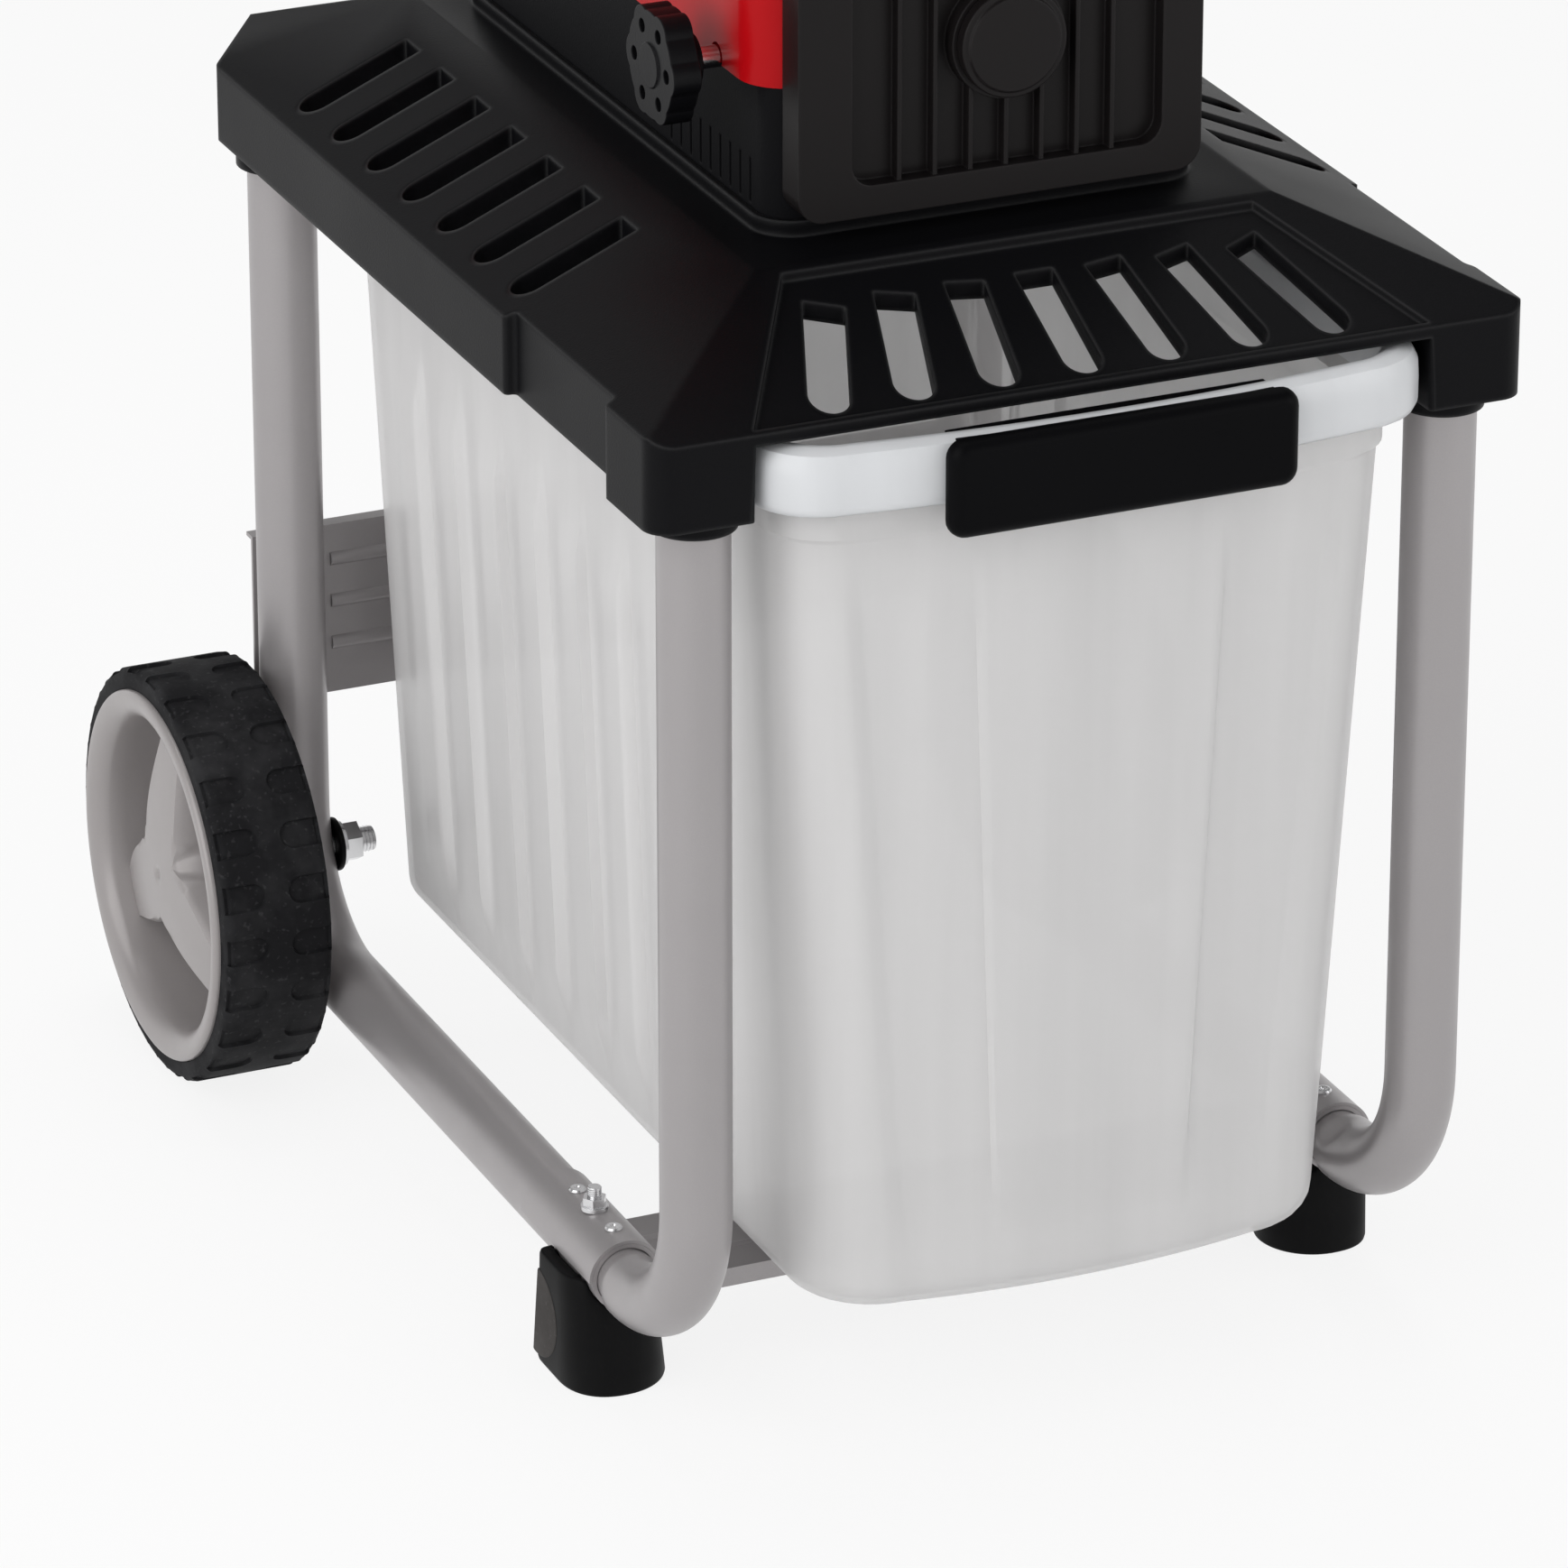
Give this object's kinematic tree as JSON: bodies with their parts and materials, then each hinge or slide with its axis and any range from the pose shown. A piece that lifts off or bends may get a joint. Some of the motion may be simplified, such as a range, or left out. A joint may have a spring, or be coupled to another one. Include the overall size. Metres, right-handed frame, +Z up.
{
  "type": "garden shredder",
  "caption": "Electric garden shredder on a wheeled tube frame, with a feed hopper, a geared cutting roller and a slide-out collection box.",
  "frame": {"origin": "on the ground, under the middle of the whole part's box", "axes": "+Z up, the front with box handle and ribbed cover faces -Y, the wheels are at +Y, +X is the side away from the adjusting knob"},
  "size_m": [0.506, 0.638, 0.97],
  "materials": {
    "black_plastic": "fine moulded texture, satin",
    "panel_plastic": "fine moulded texture",
    "knob_plastic": "satin",
    "foot_rubber": "matte",
    "tyre_rubber": "matte, dusty tread",
    "red_plastic": "glossy",
    "green_plastic": "glossy",
    "box_plastic": "milky, see-through",
    "wheel_plastic": "silver-grey, satin",
    "silver_paint": "silver paint, satin",
    "zinc_steel": "bright zinc plate",
    "tool_steel": "ground",
    "screw_chrome": "bright",
    "cast_alloy": "as cast",
    "laminated_steel": "lacquered stack",
    "bush_brass": "turned",
    "capacitor_shell": "smooth"
  },
  "bodies": {
    "frame": {"base_plate": "black_plastic", "lower_casing": "black_plastic", "front_cover": "black_plastic", "cover_cap": "black_plastic", "hopper": "black_plastic", "control_panel": "panel_plastic", "mains_inlet": "panel_plastic", "foot_left": "foot_rubber", "foot_right": "foot_rubber", "axle_washers": "foot_rubber", "splash_flap": "foot_rubber", "upper_housing": "red_plastic", "front_leg_left": "silver_paint", "front_leg_right": "silver_paint", "rear_leg_left": "silver_paint", "rear_leg_right": "silver_paint", "joint_sleeves": "silver_paint", "tow_bar": "silver_paint", "front_cross_rail": "silver_paint", "rear_cross_plate": "silver_paint", "sleeve_rivets": "zinc_steel", "foot_bolts": "zinc_steel", "foot_nuts": "zinc_steel", "plate_screws": "zinc_steel", "axle_left": "zinc_steel", "axle_right": "zinc_steel", "axle_nuts": "zinc_steel", "cover_screws": "zinc_steel", "roller_bearings": "tool_steel", "motor_bearings": "tool_steel", "cutting_chamber": "cast_alloy", "gearbox_case": "cast_alloy", "motor_flange": "cast_alloy", "rear_shield": "cast_alloy", "motor_shell": "cast_alloy", "motor_stator": "laminated_steel", "threaded_bush": "bush_brass", "start_capacitor": "capacitor_shell"},
    "left_wheel": {"wheel_left": "wheel_plastic", "tyre_left": "tyre_rubber"},
    "right_wheel": {"wheel_right": "wheel_plastic", "tyre_right": "tyre_rubber"},
    "box": {"collection_box": "box_plastic", "box_handle": "knob_plastic"},
    "rotor": {"motor_rotor": "laminated_steel", "motor_shaft": "tool_steel", "motor_fan": "knob_plastic"},
    "idler_one": {"first_idler": "tool_steel"},
    "idler_two": {"second_idler": "tool_steel"},
    "roller": {"cutting_roller": "tool_steel", "roller_shaft": "tool_steel", "output_gear": "tool_steel"},
    "counter": {"counter_plate": "tool_steel"},
    "adjuster": {"adjusting_screw": "screw_chrome", "adjusting_knob": "knob_plastic"},
    "start": {"start_button": "green_plastic"},
    "stop": {"stop_button": "red_plastic"},
    "reset": {"reset_button": "panel_plastic"},
    "selector": {"direction_selector": "panel_plastic"}
  },
  "joints": [
    {"name": "left_wheel_spin", "type": "hinge", "parent": "frame", "child": "left_wheel", "pos_m": [-0.2235, 0.21905, 0.1], "axis": [1, 0, 0], "continuous": true},
    {"name": "right_wheel_spin", "type": "hinge", "parent": "frame", "child": "right_wheel", "pos_m": [0.2235, 0.21905, 0.1], "axis": [1, 0, 0], "continuous": true},
    {"name": "box_slide", "type": "slide", "parent": "frame", "child": "box", "axis": [0, -1, 0], "range_m": [0, 0.5]},
    {"name": "rotor_spin", "type": "hinge", "parent": "frame", "child": "rotor", "pos_m": [0, 0.04725, 0.614], "axis": [0, 1, 0], "continuous": true},
    {"name": "first_idler_spin", "type": "hinge", "parent": "frame", "child": "idler_one", "pos_m": [-0.025, -0.05575, 0.6573], "axis": [0, 1, 0], "continuous": true},
    {"name": "second_idler_spin", "type": "hinge", "parent": "frame", "child": "idler_two", "pos_m": [0.025, -0.05575, 0.6573], "axis": [0, 1, 0], "continuous": true},
    {"name": "roller_spin", "type": "hinge", "parent": "frame", "child": "roller", "pos_m": [0, -0.12655, 0.614], "axis": [0, 1, 0], "continuous": true},
    {"name": "counter_slide", "type": "slide", "parent": "frame", "child": "counter", "axis": [-1, 0, 0], "range_m": [0, 0.005]},
    {"name": "knob_turn", "type": "hinge", "parent": "counter", "child": "adjuster", "pos_m": [-0.127, -0.12655, 0.602], "axis": [-1, 0, 0], "range_deg": [0, 1200]},
    {"name": "start_press", "type": "slide", "parent": "frame", "child": "start", "axis": [0, 0, -1], "range_m": [0, 0.004], "stiffness_N_per_m": 400, "springref_m": -0.002},
    {"name": "stop_press", "type": "slide", "parent": "frame", "child": "stop", "axis": [0, 0, -1], "range_m": [0, 0.004], "stiffness_N_per_m": 400, "springref_m": -0.002},
    {"name": "reset_press", "type": "slide", "parent": "frame", "child": "reset", "axis": [0, 0, -1], "range_m": [0, 0.004], "stiffness_N_per_m": 400, "springref_m": -0.002},
    {"name": "selector_turn", "type": "hinge", "parent": "frame", "child": "selector", "pos_m": [0.026, 0.08435, 0.786], "axis": [0, 0, 1], "range_deg": [-45, 45]}
  ],
  "couplings": [
    {"joint": "first_idler_spin", "follows": "rotor_spin", "ratio": -0.25},
    {"joint": "second_idler_spin", "follows": "rotor_spin", "ratio": 0.0625},
    {"joint": "roller_spin", "follows": "rotor_spin", "ratio": -0.015625},
    {"joint": "knob_turn", "follows": "counter_slide", "rad_per_m": 4188.8}
  ]
}
